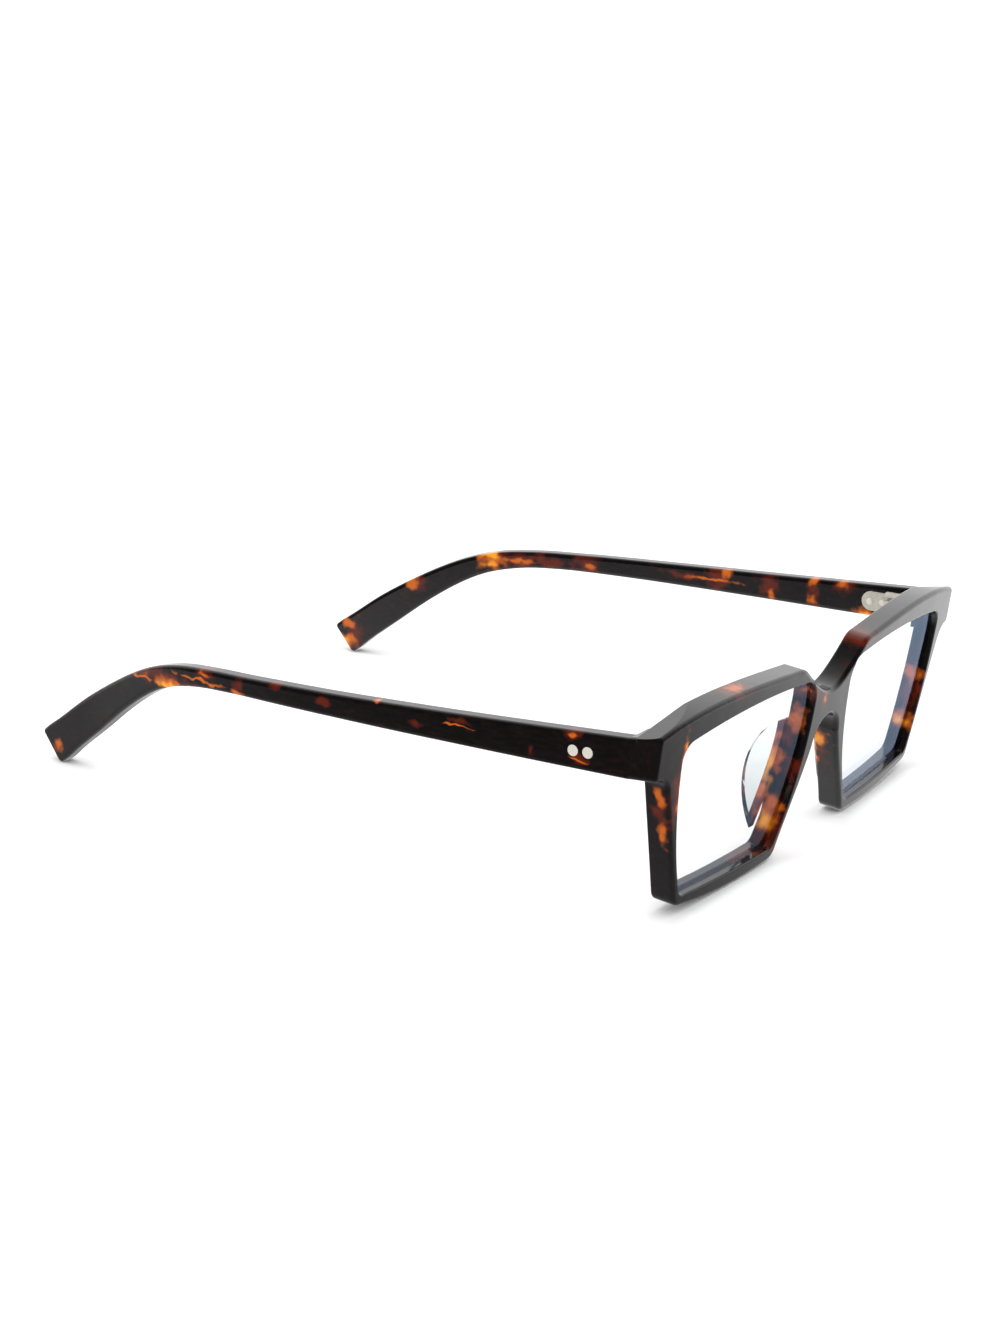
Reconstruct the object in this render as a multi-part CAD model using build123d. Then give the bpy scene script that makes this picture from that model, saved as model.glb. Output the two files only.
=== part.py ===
from build123d import *
from math import asin, cos, radians, sin, sqrt
import os

# Spectacle frame, millimetres. +Z is up, the front faces -Y, the temples run
# back along +Y, and +X is the wearer's left. It stands on its rims and temple
# tips with the temples open. Each part is drawn once, on the +X side, and
# mirrored for the other. At the end the whole frame is centred over Z = 0.

# Front: a gently curved acetate plate whose top leans forward
base_radius = 686.0
plate_thickness = 5.0
front_tilt = 6.25
front_origin = (0.0, 0.4, 22.9)
half_width = 66.0
front_round = 0.9
back_round = 0.4
opening_round = 0.4
end_round = 1.1
cut_front = -4.0
cut_back = 14.0
cut_margin = 10.0

# Lens and the V groove that holds it
lens_middle = 33.0
lens_depth = 2.4
lens_thickness = 1.8
groove_depth = 0.8
lens_clearance = 0.03

# Lug: the corner block that reaches back to the temple, as (back, height)
lug_inner = 59.0
lug_start = 3.2
seam_y = 8.4
seam_gap = 0.06
lug_top_front = (1.5, 38.1)
lug_top_seam = 37.0
lug_bottom_front = (2.1, 29.75)
lug_bottom_seam = 29.3
lug_top_inboard = (50.0, 5.4, 40.6)

# Nose pads: an acetate foot on the rim, and a clear pad bonded behind it
foot_front = 3.0
foot_back = 6.4
pad_back = 11.0
pad_thickness = 2.2
pad_taper = 0.12
pad_splay = 0.5
pad_line = [(6.2, 4.0), (7.0, -3.0), (10.0, -10.0), (14.2, -17.5), (15.2, -19.2)]
foot_view = 5.2
foot_view_margin = 0.15

# Temple: outer face and centre height at each distance back, with its height
temple_thickness = 3.8
temple_round = 0.9
temple_stations = [
    # back, outer x, centre z, height
    (seam_y - 2.0, 66.0, 33.2, 7.7),
    (22.0, 66.0, 32.45, 6.95),
    (46.0, 66.0, 31.4, 5.75),
    (72.0, 65.5, 30.35, 4.6),
    (95.0, 63.9, 29.4, 3.85),
    (106.0, 62.4, 28.6, 3.9),
    (117.8, 60.1, 26.1, 4.6),
    (128.7, 57.6, 20.7, 5.8),
    (140.0, 55.3, 13.0, 7.4),
    (153.0, 53.9, 2.9, 8.0),
]
temple_sections = 28
tip_round = 0.7
core_thickness = 1.1
core_height = 1.6
core_round = 0.3
core_start = 0.11
core_end = 0.93
core_sections = 20

# Hinge: five knuckles on one screw, its axis leaning inward at the top
axis_x = 60.3
axis_y = seam_y + 0.9
axis_z = 33.1
axis_lean = 3.0
knuckle_radius = 1.3
knuckle_height = 0.84
knuckle_pitch = 0.89
front_knuckles = (-1, 1)
temple_knuckles = (-2, 0, 2)
barrel_relief = 0.25
relief_over = 1.2
finger_inner = 0.3
finger_outer = 1.7
finger_end = 6.2
leaf_start = seam_y + 5.8
leaf_length = 7.2
leaf_height = 4.3
leaf_thickness = 0.8
leaf_recess = 0.4
tongue_inner = -1.0
tongue_outer = 0.4
tongue_front = -4.6
tongue_back = -1.7
arm_overlap = 0.2
screw_radius = 0.6
screw_clearance = 0.03
screw_head_radius = 1.05
screw_head_height = 0.5
slot_width = 0.3
slot_depth = 0.25

# Rivets through the temple and the leaf of the hinge
rivet_places = {"front": seam_y + 8.1, "rear": seam_y + 11.1}
rivet_radius = 0.6
disc_radius = 1.05
disc_depth = 0.6
dome_radius = 0.75
dome_height = 0.35
dome_round = 0.3


def slab(sketch, front, back):
    """A sketch drawn in X and Z, solid between two distances along +Y."""
    plane = Plane(origin=(0, front, 0), x_dir=(1, 0, 0), z_dir=(0, -1, 0))
    return extrude(plane * sketch, front - back)


def side_slab(sketch, inner, outer):
    """A sketch drawn in Y and Z, solid between two distances along +X."""
    plane = Plane(origin=(inner, 0, 0), x_dir=(0, 1, 0), z_dir=(1, 0, 0))
    return extrude(plane * sketch, outer - inner)


def curved_layer(front, back):
    """Everything between two depths behind the curved front face."""
    half = half_width + cut_margin

    def arc(depth):
        radius = base_radius - depth
        side = base_radius - sqrt(radius * radius - half * half)
        return ThreePointArc((-half, side), (0, depth), (half, side))

    near, far = arc(front), arc(back)
    outline = [near, Line(near @ 1, far @ 1), far, Line(far @ 0, near @ 0)]
    return extrude(Pos(0, 0, -half) * make_face(outline), 2 * half)


def tilt(shape):
    """Lean a piece of the front forward and lift it to its place."""
    return Pos(*front_origin) * (Rot(front_tilt, 0, 0) * shape)


def round_corners(sketch, rounds):
    """Round a sketch's corners, given as (place, radius)."""
    for place, radius in rounds:
        corner = sketch.vertices().sort_by_distance(Vector(*place, 0))[0]
        sketch = fillet(corner, radius)
    return sketch


def rim_outline():
    """Outer outline of the front's +X half, from the bridge to the lug."""
    saddle, notch_end, lug_top = (0, 8.6), (14.0, 15.9), (half_width, 14.6)
    lug_root, temporal_end = (62.0, 6.4), (52.6, -21.4)
    nasal_end, nose_top, arch = (15.6, -22.6), (5.5, -2.0), (0, 3.0)
    outline = make_face([
        Spline(saddle, (4.6, 9.8), (9.2, 12.5), notch_end, tangents=[(1, 0), (1, 0.72)]),
        Spline(notch_end, (30, 17.0), (45, 17.25), (57, 16.35), lug_top),
        Line(lug_top, (half_width, 6.4)),
        Line((half_width, 6.4), lug_root),
        Line(lug_root, temporal_end),
        ThreePointArc(temporal_end, (34, -23.15), nasal_end),
        Spline(nasal_end, (12.9, -17), (9.2, -10), nose_top),
        TangentArc(arch, nose_top, tangent=(1, 0)),
        Line(arch, saddle),
    ])
    return round_corners(outline, [
        (notch_end, 5), (lug_root, 4), (temporal_end, 3), (nasal_end, 3),
    ])


def lens_outline(grow=0.0):
    """The lens opening in the +X rim, grown all round: four arcs, corners rounded."""
    nasal_top, temporal_top = (8.3, 12.4), (57.6, 11.3)
    temporal_low, nasal_low = (51.2, -19.6), (17.0, -20.2)
    sides = [
        ThreePointArc(nasal_top, (33, 13.6), temporal_top),
        ThreePointArc(temporal_top, (56.5, -1.5), temporal_low),
        ThreePointArc(temporal_low, (34, -20.2), nasal_low),
        ThreePointArc(nasal_low, (9.8, -4), nasal_top),
    ]
    outline = Pos(33, -4) * Rectangle(80, 80)
    for side in sides:
        outline = outline & Pos(*side.arc_center) * Circle(side.radius + grow)
    corners = [(nasal_top, 5), (temporal_top, 3.5), (temporal_low, 2.6), (nasal_low, 2.6)]
    return round_corners(outline, [(place, radius + grow) for place, radius in corners])


def lens_blank(clearance):
    """A flat lens with its V bevel, less a clearance all round."""
    turn = asin(lens_middle / base_radius)
    sag = base_radius * (1 - cos(turn))
    half = lens_thickness / 2 - clearance
    plane = Plane(origin=(lens_middle, sag + lens_depth, 0), x_dir=(cos(turn), sin(turn), 0),
                  z_dir=(sin(turn), -cos(turn), 0))

    def outline(height, grow):
        return plane * (Pos(-lens_middle, 0, height) * lens_outline(grow))

    edge = outline(0, groove_depth - clearance)
    blank = loft([edge, outline(-half, groove_depth - clearance - half)], ruled=True)
    return blank + loft([edge, outline(half, groove_depth - clearance - half)], ruled=True)


def broad_face(solid, direction):
    """The large face towards -Y or +Y."""
    faces = solid.faces().filter_by(lambda face: face.normal_at().Y * direction > 0.9)
    return faces.sort_by(SortBy.AREA)[-1]


def rim_edges(solid, direction):
    """The outer edges of a broad face, without the cut at the middle plane."""
    edges = broad_face(solid, direction).outer_wire().edges()
    return edges.filter_by(lambda edge: abs((edge @ 0.5).X) > 0.01)


def end_edges(solid):
    """The edges that run back along the outer end of the lug."""
    def runs_back(edge):
        start, end = edge @ 0, edge @ 1
        at_end = min(start.X, end.X) > half_width - 0.001
        return at_end and abs(end.Y - start.Y) > 4

    return solid.edges().filter_by(runs_back)


def pad_band(depth):
    """Section of the nose pad at one depth: a strip along the nose."""
    out = pad_splay * (depth - foot_front)
    thick = pad_thickness - pad_taper * (depth - foot_front)
    inner = Spline([(x + out, z) for x, z in pad_line])
    outer = Spline([(x + out + thick, z) for x, z in pad_line])
    ends = [Line(inner @ 0, outer @ 0), Line(inner @ 1, outer @ 1)]
    plane = Plane(origin=(0, depth, 0), x_dir=(1, 0, 0), z_dir=(0, -1, 0))
    return plane * make_face([inner, outer] + ends)


def pad_fin(front, back):
    """The nose pad between two depths: a splayed fin with a D outline."""
    fin = loft([pad_band(foot_front), pad_band(pad_back)], ruled=True)
    root_top, top, low, root_low = (2, 3.2), (5.6, 2.9), (5.4, -17.6), (2, -18.4)
    side = make_face([
        Line(root_top, top),
        Spline(top, (8.6, 0.2), (10.3, -4.6), (9.3, -11.0), low),
        Line(low, root_low),
        Line(root_low, root_top),
    ])
    layer = Pos(15, (front + back) / 2, -7) * Box(40, back - front, 40)
    return fin & side_slab(side, 0, 30) & layer


def lug():
    """Corner block from inside the plate back to the seam with the temple."""
    def edge(front, seam_height):
        slope = (seam_height - front[1]) / (seam_y - front[0])
        start = front[1] + slope * (lug_start - front[0])
        return (lug_start, start), (seam_y, seam_height)

    top = edge(lug_top_front, lug_top_seam)
    bottom = edge(lug_bottom_front, lug_bottom_seam)
    block = side_slab(make_face(Polyline(*top, *reversed(bottom), close=True)),
                      lug_inner, half_width)
    return fillet(end_edges(block), end_round)


def above_lug():
    """The space over the lug, blended into the top edge of the rim."""
    corner = Vector(half_width, *lug_top_front)
    seam = Vector(half_width, seam_y, lug_top_seam)
    normal = (Vector(*lug_top_inboard) - corner).cross(seam - corner)
    normal = normal if normal.Z > 0 else -normal
    plane = Plane(origin=corner, x_dir=seam - corner, z_dir=normal)
    return extrude(plane * Rectangle(60, 60), 20)


def front_half():
    """The +X half of the front, before the hinge pockets."""
    plate = slab(rim_outline(), cut_front, cut_back) & curved_layer(0, plate_thickness)
    plate = fillet(end_edges(plate), end_round)
    plate = fillet(rim_edges(plate, -1), front_round)
    plate = fillet(rim_edges(plate, 1), back_round)
    plate = plate - slab(lens_outline(), cut_front, cut_back)
    for direction in (-1, 1):
        opening = broad_face(plate, direction).inner_wires()[0]
        plate = fillet(opening.edges(), opening_round)
    plate = plate - lens_blank(0)
    view = slab(lens_outline(foot_view_margin), cut_front, cut_back) & curved_layer(0, foot_view)
    foot = pad_fin(foot_front, foot_back) - view
    return tilt(plate + foot) + lug() - above_lug()


def hinge_frame():
    """The hinge's own frame: Z up its axis, Y back, X outward."""
    lean = radians(axis_lean)
    return Plane(origin=(axis_x, axis_y, axis_z), x_dir=(cos(lean), 0, sin(lean)),
                 z_dir=(-sin(lean), 0, cos(lean)))


def block(x_range, y_range, z_range):
    """A box between given limits."""
    sizes = [high - low for low, high in (x_range, y_range, z_range)]
    middle = [(high + low) / 2 for low, high in (x_range, y_range, z_range)]
    return Pos(*middle) * Box(*sizes)


def knuckle(level, bore, arm_x, arm_y):
    """One knuckle with the arm that carries it."""
    height = level * knuckle_pitch
    half = knuckle_height / 2
    ring = Pos(0, 0, height) * Cylinder(knuckle_radius, knuckle_height)
    arm = block(arm_x, arm_y, (height - half, height + half))
    hole = Pos(0, 0, height) * Cylinder(bore, 2 * knuckle_height)
    return ring + arm - hole


def front_hinge():
    """The half embedded in the lug: two knuckles on a tongue."""
    half_height = leaf_height / 2
    plate = block((tongue_inner, tongue_outer), (tongue_front, tongue_back),
                  (-half_height, half_height))
    bore = screw_radius + screw_clearance
    for level in front_knuckles:
        arm_y = (tongue_back - arm_overlap, 0)
        plate = plate + knuckle(level, bore, (tongue_inner, tongue_outer), arm_y)
    return hinge_frame() * plate


def leaf_middle(back):
    """Height of the temple's middle at a distance back, near its front end."""
    (start, _, low, _), (end, _, high, _) = temple_stations[:2]
    return low + (high - low) * (back - start) / (end - start)


def temple_hinge():
    """The half riveted to the temple: three knuckles on a leaf."""
    inner_face = half_width - temple_thickness
    back = leaf_start + leaf_length
    middle = leaf_middle((leaf_start + back) / 2)
    radius = leaf_height / 2
    outline = Pos(back - radius, middle) * Circle(radius)
    straight = leaf_length - radius
    outline += Pos(leaf_start + straight / 2, middle) * Rectangle(straight, leaf_height)
    outer = inner_face + leaf_recess
    leaf = side_slab(outline, outer - leaf_thickness, outer)
    for level in temple_knuckles:
        arm = knuckle(level, screw_radius, (finger_inner, finger_outer), (0, finger_end))
        leaf = leaf + hinge_frame() * arm
    return leaf


def hinge_screw():
    """The slotted screw that is the hinge's pin."""
    reach = 2 * knuckle_pitch + knuckle_height / 2
    top = reach + screw_head_height
    shank = Cylinder(screw_radius, 2 * reach)
    head_middle = reach + screw_head_height / 2
    head = Pos(0, 0, head_middle) * Cylinder(screw_head_radius, screw_head_height)
    slot = Pos(0, 0, top) * Box(3 * screw_head_radius, slot_width, 2 * slot_depth)
    return hinge_frame() * (shank + head - slot)


def rivet(back):
    """One rivet: a flush disc outside, a dome on the hinge leaf inside."""
    leaf_face = half_width - temple_thickness + leaf_recess - leaf_thickness
    dome = Pos(0, 0, leaf_face - dome_height / 2) * Cylinder(dome_radius, dome_height)
    dome = fillet(dome.edges().sort_by(Axis.Z)[0], dome_round)
    shank = Cylinder(rivet_radius, half_width - leaf_face, align=(Align.CENTER, Align.CENTER, Align.MIN))
    disc = Pos(0, 0, half_width - disc_depth / 2) * Cylinder(disc_radius, disc_depth)
    along_x = Plane(origin=(0, back, leaf_middle(back)), x_dir=(0, 1, 0), z_dir=(1, 0, 0))
    return along_x * (dome + Pos(0, 0, leaf_face) * shank + disc)


def temple_path():
    """Centre line of the temple."""
    centre = temple_thickness / 2
    points = [(x - centre, y, z) for y, x, z, _ in temple_stations]
    droop = Vector(*points[1]) - Vector(*points[0])
    return Spline(points, tangents=[droop, (-0.08, 1, -0.8)], tangent_scalars=[1, 1])


def height_at(back):
    """Height of the temple at a distance back."""
    for start, end in zip(temple_stations, temple_stations[1:]):
        if back <= end[0]:
            break
    return start[3] + (end[3] - start[3]) * (back - start[0]) / (end[0] - start[0])


def section(path, share, outline):
    """A sketch set square across the temple's centre line, part of the way along."""
    along = path % share
    across = along.cross(Vector(0, 0, 1))
    return Plane(origin=path @ share, x_dir=across, z_dir=along) * outline


def core(path):
    """The metal core wire shot into the temple, between the hinge and the tip."""
    outline = RectangleRounded(core_thickness, core_height, core_round)
    step = (core_end - core_start) / core_sections
    shares = [core_start + step * i for i in range(core_sections + 1)]
    return loft([section(path, share, outline) for share in shares])


def temple(path):
    """The acetate temple, cut square at the seam and rounded at its tip."""
    sections = []
    for i in range(temple_sections + 1):
        share = i / temple_sections
        height = height_at((path @ share).Y)
        outline = RectangleRounded(temple_thickness, height, temple_round)
        sections.append(section(path, share, outline))
    before_seam = block((0, 100), (-50, seam_y + seam_gap), (0, 100))
    arm = loft(sections)
    tip = arm.faces().sort_by(Axis.Y)[-1]
    return fillet(tip.edges(), tip_round) - before_seam


def build():
    """Every part by name, the paired ones drawn on the +X side."""
    path = temple_path()
    rivets = {name: rivet(back) for name, back in rivet_places.items()}
    leaf = temple_hinge()
    bedded = front_hinge()
    relief = hinge_frame() * Cylinder(knuckle_radius + barrel_relief, leaf_height + relief_over)
    wire = core(path)
    arm = temple(path) - wire - leaf
    for one in rivets.values():
        arm = arm - one
        leaf = leaf - one
    half = front_half() - relief - bedded
    pairs = {
        "lens": tilt(lens_blank(lens_clearance)),
        "nose_pad": tilt(pad_fin(foot_back, pad_back)),
        "front_hinge": bedded,
        "temple": arm,
        "temple_core": wire,
        "temple_hinge": leaf,
        "hinge_screw": hinge_screw(),
    }
    pairs.update({f"rivet_{name}": one for name, one in rivets.items()})
    parts = {"front": half + mirror(half, Plane.YZ)}
    for name, part in pairs.items():
        parts[f"{name}_left"] = part
        parts[f"{name}_right"] = mirror(part, Plane.YZ)
    return parts


def main():
    parts = build()
    boxes = [part.bounding_box() for part in parts.values()]
    front_edge = min(box.min.Y for box in boxes)
    back_edge = max(box.max.Y for box in boxes)
    ground = min(box.min.Z for box in boxes)
    home = Vector(0, -(front_edge + back_edge) / 2, -ground)
    os.makedirs("parts", exist_ok=True)
    for name, part in parts.items():
        export_step(Pos(*home) * part, f"parts/{name}.step")
    print("moved home by", home)
    for name in ("front", "temple_left"):
        print(name, "stands", parts[name].bounding_box().min.Z - ground, "above the ground")
    print("left hinge axis through", Vector(axis_x, axis_y, axis_z) + home, hinge_frame().z_dir)


main()
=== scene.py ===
from math import pi, radians

import bpy
from mathutils import Matrix, Vector


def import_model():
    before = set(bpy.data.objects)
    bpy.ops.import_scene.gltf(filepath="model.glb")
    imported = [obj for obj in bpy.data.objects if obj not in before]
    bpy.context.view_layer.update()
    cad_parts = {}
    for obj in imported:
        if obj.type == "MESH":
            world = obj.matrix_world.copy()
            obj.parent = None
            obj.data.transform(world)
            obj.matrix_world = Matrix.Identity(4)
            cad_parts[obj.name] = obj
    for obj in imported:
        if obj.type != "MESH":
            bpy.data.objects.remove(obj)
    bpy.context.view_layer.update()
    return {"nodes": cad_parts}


# The camera, in metres and degrees: its place, and how it is turned about the
# upright, raised, rolled, and tipped sideways
CAMERA_PLACE = (-0.41214, -0.25739, 0.16707)
CAMERA_TURN = -59.437
CAMERA_RISE = 16.379
CAMERA_ROLL = 1.164
CAMERA_TIP = -1.095
CAMERA_LENS = 64.77
CAMERA_SHIFT = (-0.0478, 0.0100)
CAMERA_CLIP = (0.01, 100)

# The studio: how bright the surroundings are, and what the gloss sees instead.
# Gloss values are (start, end) along the climb and (dark, white) strengths.
FLOOR_REACH = 30.0
FLOOR_COLOUR = (0.96, 0.96, 0.96, 1)
FLOOR_GLOSS = (-0.16, 0.10, 0.06, 1.6)
SKY_STRENGTH = 1.18
SKY_GLOSS = (0.0, 0.8, 0.03, 1.5)
CLIMB = (1.0, 0.5, 0.0)

SMOOTH_BELOW = radians(32)
ACETATE_IOR = 1.49

# Acetate colours, from the near-black ground to the clearest amber, and where
# each one's patches fade out and are full, as a distance with 1 at their edge
GROUND = (0.0040, 0.0028, 0.0030)
RED = (0.095, 0.011, 0.004)
ORANGE = (0.50, 0.105, 0.007)
AMBER = (0.86, 0.34, 0.020)
TONES = (("red", RED, 1.9, 0.3), ("orange", ORANGE, 1.7, 0.3), ("amber", AMBER, 1.6, 0.1))
PATCH_SWAY = (1.8, 2.6, 1.8)
PATCH_RAGGED = 2.2
STRAY_RED = 0.22
FLECK_RED = 0.10

# Clearer patches in the acetate: place and half size in millimetres.
# The right side is the one with negative X.
TEMPLE_RIGHT = {
    "red": [
        ((-66, -57.4, 35.8), (3, 1.3, 0.8)), ((-66, -58.6, 31.4), (3, 1.2, 0.7)),
        ((-65.3, -3, 31), (3, 1.2, 0.5)), ((-66, -49, 31.0), (3, 0.6, 0.7)),
        ((-60, 40, 26.3), (4, 8, 1.2)), ((-65, 9, 31.6), (3, 1.5, 0.5)),
        ((-64, 18.5, 29.4), (3, 0.9, 1.5)), ((-62.6, 27.5, 30.2), (3, 1.8, 1.0)),
        ((-66, -34, 33.4), (3, 1.4, 0.4)), ((-65.8, -24, 31), (3, 1.0, 0.5)),
    ],
    "orange": [
        ((-60.5, 38, 25.6), (4, 4.6, 0.8)), ((-62, 29, 28.4), (4, 6, 0.25)),
        ((-63, 27.5, 29.8), (3, 1.2, 0.3)), ((-64, 18.6, 27.9), (3, 1.6, 0.5)),
        ((-65.7, -15, 33.4), (3, 0.7, 0.35)), ((-66, -57.4, 35.4), (3, 0.7, 0.3)),
        ((-66, -33.6, 32.4), (3, 2.4, 0.13)), ((-66, -58.4, 31.0), (3, 1.3, 0.16)),
        ((-54.2, 73.6, 3.8), (4, 1.1, 1.2)), ((-58, 47, 25.0), (4, 4, 0.2)),
    ],
    "amber": [
        ((-60.5, 38, 25.1), (4, 3.2, 0.5)),
    ],
}
TEMPLE_LEFT = {
    "red": [
        ((61, 14, 29.6), (4, 2.6, 1.6)), ((62, -20, 32), (4, 2.2, 2.6)),
        ((62, -33, 31.6), (4, 1.5, 2.2)), ((62, -44, 33), (4, 1.2, 3.4)),
        ((58, 32, 28.4), (4, 4.5, 1.4)), ((53, 56, 20), (4, 2, 1.6)),
        ((50, 72.4, 5), (5, 2, 2.4)), ((60.5, 24, 29), (4, 3, 1.2)),
        ((62, -12, 31), (4, 4, 0.5)), ((62.4, -51, 35), (4, 1.8, 1.4)),
    ],
    "orange": [
        ((57.5, 38, 27.8), (4, 2.4, 2.4)), ((58.5, 31, 28.2), (4, 4, 0.5)),
        ((52.5, 57.2, 19.8), (4, 1.1, 1.4)),
        ((60.5, 13, 29.2), (4, 1.2, 0.5)), ((62, -18.5, 31.0), (4, 5, 0.28)),
        ((62, -22.5, 32.8), (4, 1.0, 1.3)), ((62.6, -43.7, 35.2), (4, 0.8, 0.9)),
        ((62.2, -43.7, 30.4), (4, 0.8, 0.7)), ((62.6, -50.6, 35.4), (4, 1.0, 0.8)),
        ((50, 75, 2.8), (5, 2.2, 1.6)), ((50, 74.4, 7.4), (5, 1.6, 1.0)),
        ((62.2, -56.6, 29.6), (4, 2.6, 0.9)), ((62.2, -33.3, 29.9), (4, 0.8, 0.8)),
    ],
    "amber": [
        ((57.3, 38, 28.8), (4, 1.6, 0.7)), ((57.3, 38, 26.6), (4, 1.6, 0.6)),
        ((50, 76.4, 2.6), (5, 1.6, 1.0)), ((62.2, -56.2, 29.4), (4, 1.6, 0.5)),
    ],
}
FRONT = {
    "red": [
        ((-39, -75, 40.8), (3.4, 3, 1.2)), ((-8.5, -76, 32.5), (1.8, 2.4, 1.2)),
        ((-3.6, -77.5, 30), (1.3, 2, 1.4)), ((-10.4, -74.8, 17.4), (1.4, 2, 1.4)),
        ((-60, -72, 20.5), (1.6, 1.2, 4)), ((-17, -73, 8), (4, 3.0, 4)),
        ((55, -71.6, 16), (2.2, 1.6, 4)), ((14, -75, 38.6), (4, 3.4, 1.2)),
        ((8, -71.5, 17), (3, 1.8, 3)), ((-57.4, -74.6, 26), (1.8, 2.2, 5)),
        ((-24, -71, 3), (4, 1.4, 1.0)), ((-9.4, -72, 25), (1.6, 1.6, 3)),
    ],
    "orange": [
        ((-38.2, -74.9, 40.6), (1.6, 1.6, 0.6)), ((-8.1, -75.8, 33), (0.7, 1.2, 0.5)),
        ((-3.6, -77.5, 30.1), (0.6, 1.2, 0.7)), ((-57.2, -76.2, 32), (0.7, 1.2, 4)),
        ((-56.8, -75.2, 24), (0.7, 1.4, 4)),
        ((-60.5, -72.4, 25.5), (1.4, 0.9, 1.8)), ((-57.8, -72.0, 17.4), (1.4, 0.8, 2.0)),
        ((-14, -72, 8.6), (2.0, 2.0, 3.0)), ((53.6, -70.4, 10.2), (1.4, 1.8, 1.8)),
        ((55.8, -71, 20), (1.2, 2.0, 1.4)), ((6.9, -72, 18.6), (1.5, 1.8, 2.0)),
        ((9.5, -69.5, 15.0), (1.8, 1.4, 4.0)), ((-10.4, -70.6, 20), (1.6, 1.4, 4)),
        ((-8.4, -74, 27), (0.8, 1.6, 2.2)), ((-13.8, -70.0, 12.6), (1.4, 1.4, 3.4)),
    ],
    "amber": [
        ((7.0, -71.8, 18), (1.2, 1.5, 1.7)), ((10.2, -69.3, 13.5), (2.0, 0.9, 5)),
        ((-56.8, -75.8, 31), (0.5, 1.2, 4)), ((-56.6, -75.0, 24), (0.5, 1.4, 3)),
        ((-14.6, -71.6, 7.4), (1.2, 1.3, 1.4)),
        ((-11.6, -70.0, 17.4), (1.1, 0.9, 5)), ((53.4, -70, 10), (0.7, 1.2, 0.9)),
    ],
}


class Nodes:
    """A material's node tree, with one call per node."""

    def __init__(self, name):
        self.material = bpy.data.materials.new(name)
        self.material.use_nodes = True
        self.tree = self.material.node_tree
        self.tree.nodes.clear()

    def add(self, kind, inputs=(), **settings):
        node = self.tree.nodes.new("ShaderNode" + kind)
        for key, value in settings.items():
            setattr(node, key, value)
        for key, value in dict(inputs).items():
            if isinstance(value, bpy.types.NodeSocket):
                self.tree.links.new(value, node.inputs[key])
            else:
                node.inputs[key].default_value = value
        return node

    def math(self, operation, a, b=0.0, c=0.0):
        return self.add("Math", {0: a, 1: b, 2: c}, operation=operation).outputs[0]

    def vector(self, operation, a, b=(0, 0, 0), c=(0, 0, 0)):
        node = self.add("VectorMath", {0: a, 1: b}, operation=operation)
        if operation == "MULTIPLY_ADD":
            node.inputs[2].default_value = c
        return node.outputs["Value" if operation == "LENGTH" else "Vector"]

    def noise(self, place, scale, detail=2.0, rough=0.5):
        return self.add("TexNoise", {
            "Vector": place, "Scale": scale, "Detail": detail, "Roughness": rough,
        })

    def ramp(self, value, low, high, to_low=0.0, to_high=1.0):
        node = self.add("MapRange", {
            0: value, 1: low, 2: high, 3: to_low, 4: to_high,
        }, interpolation_type="SMOOTHSTEP")
        return node.outputs[0]

    def mix(self, factor, a, b):
        node = self.add("Mix", data_type="RGBA")
        for index, value in ((0, factor), (6, a), (7, b)):
            if isinstance(value, bpy.types.NodeSocket):
                self.tree.links.new(value, node.inputs[index])
            else:
                node.inputs[index].default_value = (*value, 1)
        return node.outputs[2]

    def millimetres(self):
        place = self.add("TexCoord").outputs["Object"]
        return self.vector("MULTIPLY", place, (1000, 1000, 1000))

    def surface(self, shader):
        output = self.tree.nodes.new("ShaderNodeOutputMaterial")
        self.tree.links.new(shader.outputs[0], output.inputs["Surface"])
        return self.material


def nearest(nodes, place, patches):
    """Distance to the nearest patch, 1 at its edge."""
    least = None
    for centre, size in patches:
        scale = [1 / s for s in size]
        shift = [-c / s for c, s in zip(centre, size)]
        reach = nodes.vector("LENGTH", nodes.vector("MULTIPLY_ADD", place, scale, shift))
        least = reach if least is None else nodes.math("MINIMUM", least, reach)
    return least


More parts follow.
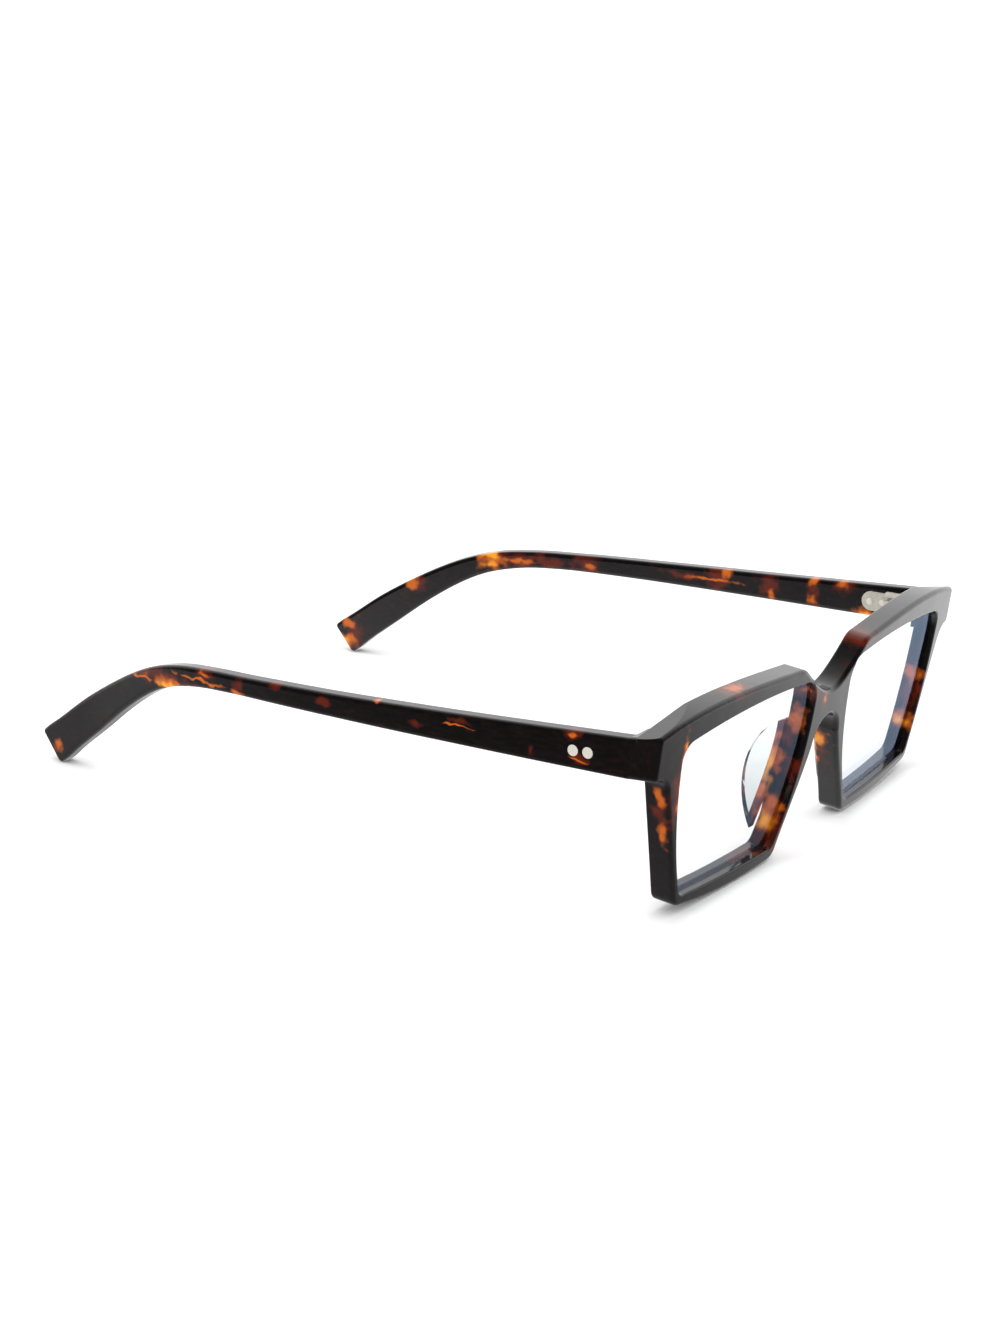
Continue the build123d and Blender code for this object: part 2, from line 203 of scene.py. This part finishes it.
def tortoise(name, patches, grain, roughness, specular):
    """Dark tortoiseshell acetate with clearer patches placed in it."""
    n = Nodes(name)
    place = n.millimetres()
    sway = n.noise(place, 0.40, 1.5).outputs["Color"]
    sway = n.vector("SUBTRACT", sway, (0.5, 0.5, 0.5))
    warped = n.vector("ADD", place, n.vector("MULTIPLY", sway, PATCH_SWAY))
    streaks = n.noise(n.vector("MULTIPLY", warped, grain), 0.30, 3, 0.6).outputs[0]
    cloud = n.noise(n.vector("MULTIPLY", place, grain), 1.1, 4, 0.65).outputs[0]
    torn = n.noise(place, 0.50, 1.0, 0.40).outputs[0]
    ragged = n.math("MULTIPLY_ADD", torn, PATCH_RAGGED, -PATCH_RAGGED / 2)
    specks = n.noise(n.vector("MULTIPLY", warped, grain), 0.62, 2, 0.5).outputs[0]
    flecks = n.ramp(specks, 0.60, 0.72)
    colour = n.mix(n.ramp(cloud, 0.35, 0.8), GROUND, tuple(2.2 * c for c in GROUND))
    stray = n.math("MULTIPLY", n.ramp(streaks, 0.66, 0.82), STRAY_RED)
    colour = n.mix(stray, colour, RED)
    colour = n.mix(n.math("MULTIPLY", flecks, FLECK_RED), colour, RED)
    for tone, ink, low, high in TONES:
        reach = n.math("ADD", nearest(n, warped, patches[tone]), ragged)
        mask = n.ramp(reach, low, high)
        broken = n.math("MULTIPLY", mask, n.ramp(cloud, 0.25, 0.60, 0.75, 1.0))
        colour = n.mix(broken, colour, ink)
    handled = n.noise(place, 0.9, 4, 0.7).outputs[0]
    wear = n.ramp(handled, 0.3, 0.75, roughness * 0.75, roughness * 1.4)
    ripple = n.noise(place, 0.16, 2).outputs[0]
    bump = n.add("Bump", {"Strength": 0.12, "Distance": 0.0004, "Height": ripple})
    return n.surface(n.add("BsdfPrincipled", {
        "Base Color": colour, "Roughness": wear, "IOR": ACETATE_IOR,
        "Specular IOR Level": specular, "Normal": bump.outputs[0],
    }))


def clear_acetate():
    n = Nodes("clear_acetate")
    place = n.millimetres()
    haze = n.noise(place, 0.5, 3).outputs[0]
    tint = n.mix(n.ramp(haze, 0.3, 0.7), (0.93, 0.95, 0.93), (0.88, 0.91, 0.88))
    soft = n.ramp(haze, 0.3, 0.8, 0.03, 0.10)
    return n.surface(n.add("BsdfPrincipled", {
        "Base Color": tint, "Roughness": soft, "IOR": ACETATE_IOR, "Transmission Weight": 1.0,
    }))


def coated_lens():
    """Clear coated lens: nearly nothing straight on, a bluish reflection at a slant."""
    n = Nodes("coated_lens")
    place = n.millimetres()
    smear = n.noise(place, 0.12, 3).outputs[0]
    slant = n.add("LayerWeight", {"Blend": 0.5}).outputs["Facing"]
    edge = n.math("MULTIPLY_ADD", n.math("POWER", slant, 4.0), 0.55, 0.008)
    tint = n.mix(n.ramp(smear, 0.3, 0.7), (0.50, 0.68, 1.0), (0.58, 0.72, 0.98))
    shine = n.add("BsdfGlossy", {"Color": tint, "Roughness": 0.02})
    clear = n.add("BsdfTransparent", {"Color": (0.985, 0.992, 0.995, 1)})
    both = n.add("MixShader", {0: edge, 1: clear.outputs[0], 2: shine.outputs[0]})
    return n.surface(both)


def metal(name, colour, roughness, stretch, speckle, bright=1.0):
    """Worked metal: fine lines along the stretch, small flecks, bright or matte."""
    n = Nodes(name)
    place = n.millimetres()
    lines = n.noise(n.vector("MULTIPLY", place, stretch), 6.0, 3, 0.6).outputs[0]
    fleck = n.noise(place, speckle, 3, 0.7).outputs[0]
    dim = tuple(0.82 * c for c in colour)
    shade = n.mix(n.ramp(fleck, 0.35, 0.65), dim, colour)
    rough = n.ramp(lines, 0.3, 0.7, roughness * 0.8, roughness * 1.25)
    bump = n.add("Bump", {"Strength": 0.25, "Distance": 0.00004, "Height": lines})
    return n.surface(n.add("BsdfPrincipled", {
        "Base Color": shade, "Roughness": rough, "Metallic": bright,
        "Normal": bump.outputs[0],
    }))


def paint_frame(nodes):
    """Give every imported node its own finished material."""
    front = tortoise("tortoise_front", FRONT, (0.8, 1.0, 1.0), 0.10, 0.5)
    right = tortoise("tortoise_right", TEMPLE_RIGHT, (1.0, 0.32, 1.3), 0.16, 0.28)
    left = tortoise("tortoise_left", TEMPLE_LEFT, (1.0, 0.32, 1.3), 0.16, 0.28)
    nickel = metal("hinge_nickel", (0.70, 0.66, 0.58), 0.36, (1, 0.1, 4), 3.0, 0.55)
    disc = metal("rivet_nickel", (0.80, 0.76, 0.68), 0.5, (1, 1, 1), 4.0, 0.25)
    steel = metal("screw_steel", (0.60, 0.58, 0.55), 0.30, (1, 1, 0.1), 4.0, 0.8)
    wire = metal("core_wire", (0.58, 0.56, 0.52), 0.35, (1, 0.05, 1), 2.0)
    looks = {
        "front": front, "lens": coated_lens(), "nose_pad": clear_acetate(),
        "front_hinge": nickel, "temple_hinge": nickel, "hinge_screw": steel,
        "temple_core": wire, "rivet_front": disc, "rivet_rear": disc,
    }
    for name, node in nodes.items():
        kind, _, side = name.rpartition("_")
        if kind == "temple":
            look = right if side == "right" else left
        else:
            look = looks.get(kind) or looks[name]
        node.data.materials.clear()
        node.data.materials.append(look)


def smooth(nodes):
    """Shade the curved faces smooth and keep the crisp edges."""
    for node in nodes.values():
        for polygon in node.data.polygons:
            polygon.use_smooth = True
        node.data.set_sharp_from_angle(angle=SMOOTH_BELOW)


def toward(tree, place, low, high, dark, white):
    """A brightness that climbs from dark to white away from the camera's side."""
    along = tree.nodes.new("ShaderNodeVectorMath")
    along.operation = "DOT_PRODUCT"
    tree.links.new(place, along.inputs[0])
    along.inputs[1].default_value = CLIMB
    climb = tree.nodes.new("ShaderNodeMapRange")
    climb.interpolation_type = "SMOOTHSTEP"
    tree.links.new(along.outputs["Value"], climb.inputs[0])
    for index, value in ((1, low), (2, high), (3, dark), (4, white)):
        climb.inputs[index].default_value = value
    return climb.outputs[0]


def stage():
    """A pale floor, which the object's gloss sees darker on the camera's side."""
    mesh = bpy.data.meshes.new("floor")
    far = FLOOR_REACH
    corners = [(-far, -far, 0), (far, -far, 0), (far, far, 0), (-far, far, 0)]
    mesh.from_pydata(corners, [], [(0, 1, 2, 3)])
    floor = bpy.data.objects.new("floor", mesh)
    bpy.context.scene.collection.objects.link(floor)
    n = Nodes("floor")
    plain = n.add("BsdfDiffuse", {"Color": FLOOR_COLOUR})
    place = n.add("TexCoord").outputs["Object"]
    seen = n.add("Emission", {"Strength": toward(n.tree, place, *FLOOR_GLOSS)})
    gloss = n.add("LightPath").outputs["Is Glossy Ray"]
    both = n.add("MixShader", {0: gloss, 1: plain.outputs[0], 2: seen.outputs[0]})
    mesh.materials.append(n.surface(both))


def light(name, place, target, size, power):
    """A square soft light aimed at a point."""
    data = bpy.data.lights.new(name, "AREA")
    data.shape = "SQUARE"
    data.size = size
    data.energy = power
    lamp = bpy.data.objects.new(name, data)
    lamp.location = place
    aim = Vector(target) - Vector(place)
    lamp.rotation_euler = aim.to_track_quat("-Z", "Y").to_euler()
    lamp.visible_glossy = False
    bpy.context.scene.collection.objects.link(lamp)


def world():
    """Even white surroundings, which the gloss sees darker on the camera's side."""
    sky = bpy.data.worlds.new("studio")
    sky.use_nodes = True
    tree = sky.node_tree
    place = tree.nodes.new("ShaderNodeTexCoord").outputs["Generated"]
    path = tree.nodes.new("ShaderNodeLightPath")
    mix = tree.nodes.new("ShaderNodeMix")
    tree.links.new(path.outputs["Is Glossy Ray"], mix.inputs[0])
    mix.inputs[2].default_value = SKY_STRENGTH
    tree.links.new(toward(tree, place, *SKY_GLOSS), mix.inputs[3])
    background = tree.nodes["Background"].inputs
    background["Color"].default_value = (1, 1, 1, 1)
    tree.links.new(mix.outputs[0], background["Strength"])
    bpy.context.scene.world = sky


def camera():
    """The viewpoint: to the right of the front and above it."""
    data = bpy.data.cameras.new("camera")
    data.lens = CAMERA_LENS
    data.sensor_width = 36
    data.shift_x, data.shift_y = CAMERA_SHIFT
    data.clip_start, data.clip_end = CAMERA_CLIP
    cam = bpy.data.objects.new("camera", data)
    aim = (Matrix.Rotation(radians(CAMERA_TIP), 3, "X")
           @ Matrix.Rotation(radians(CAMERA_TURN), 3, "Z")
           @ Matrix.Rotation(pi / 2 - radians(CAMERA_RISE), 3, "X")
           @ Matrix.Rotation(radians(CAMERA_ROLL), 3, "Z"))
    cam.matrix_world = Matrix.Translation(CAMERA_PLACE) @ aim.to_4x4()
    bpy.context.scene.collection.objects.link(cam)
    bpy.context.scene.camera = cam


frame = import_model()
paint_frame(frame["nodes"])
smooth(frame["nodes"])
stage()
world()
light("over", (-0.1, 0.1, 1.2), (0, 0, 0), 1.2, 6.0)
camera()
bpy.context.scene.view_settings.view_transform = "Standard"
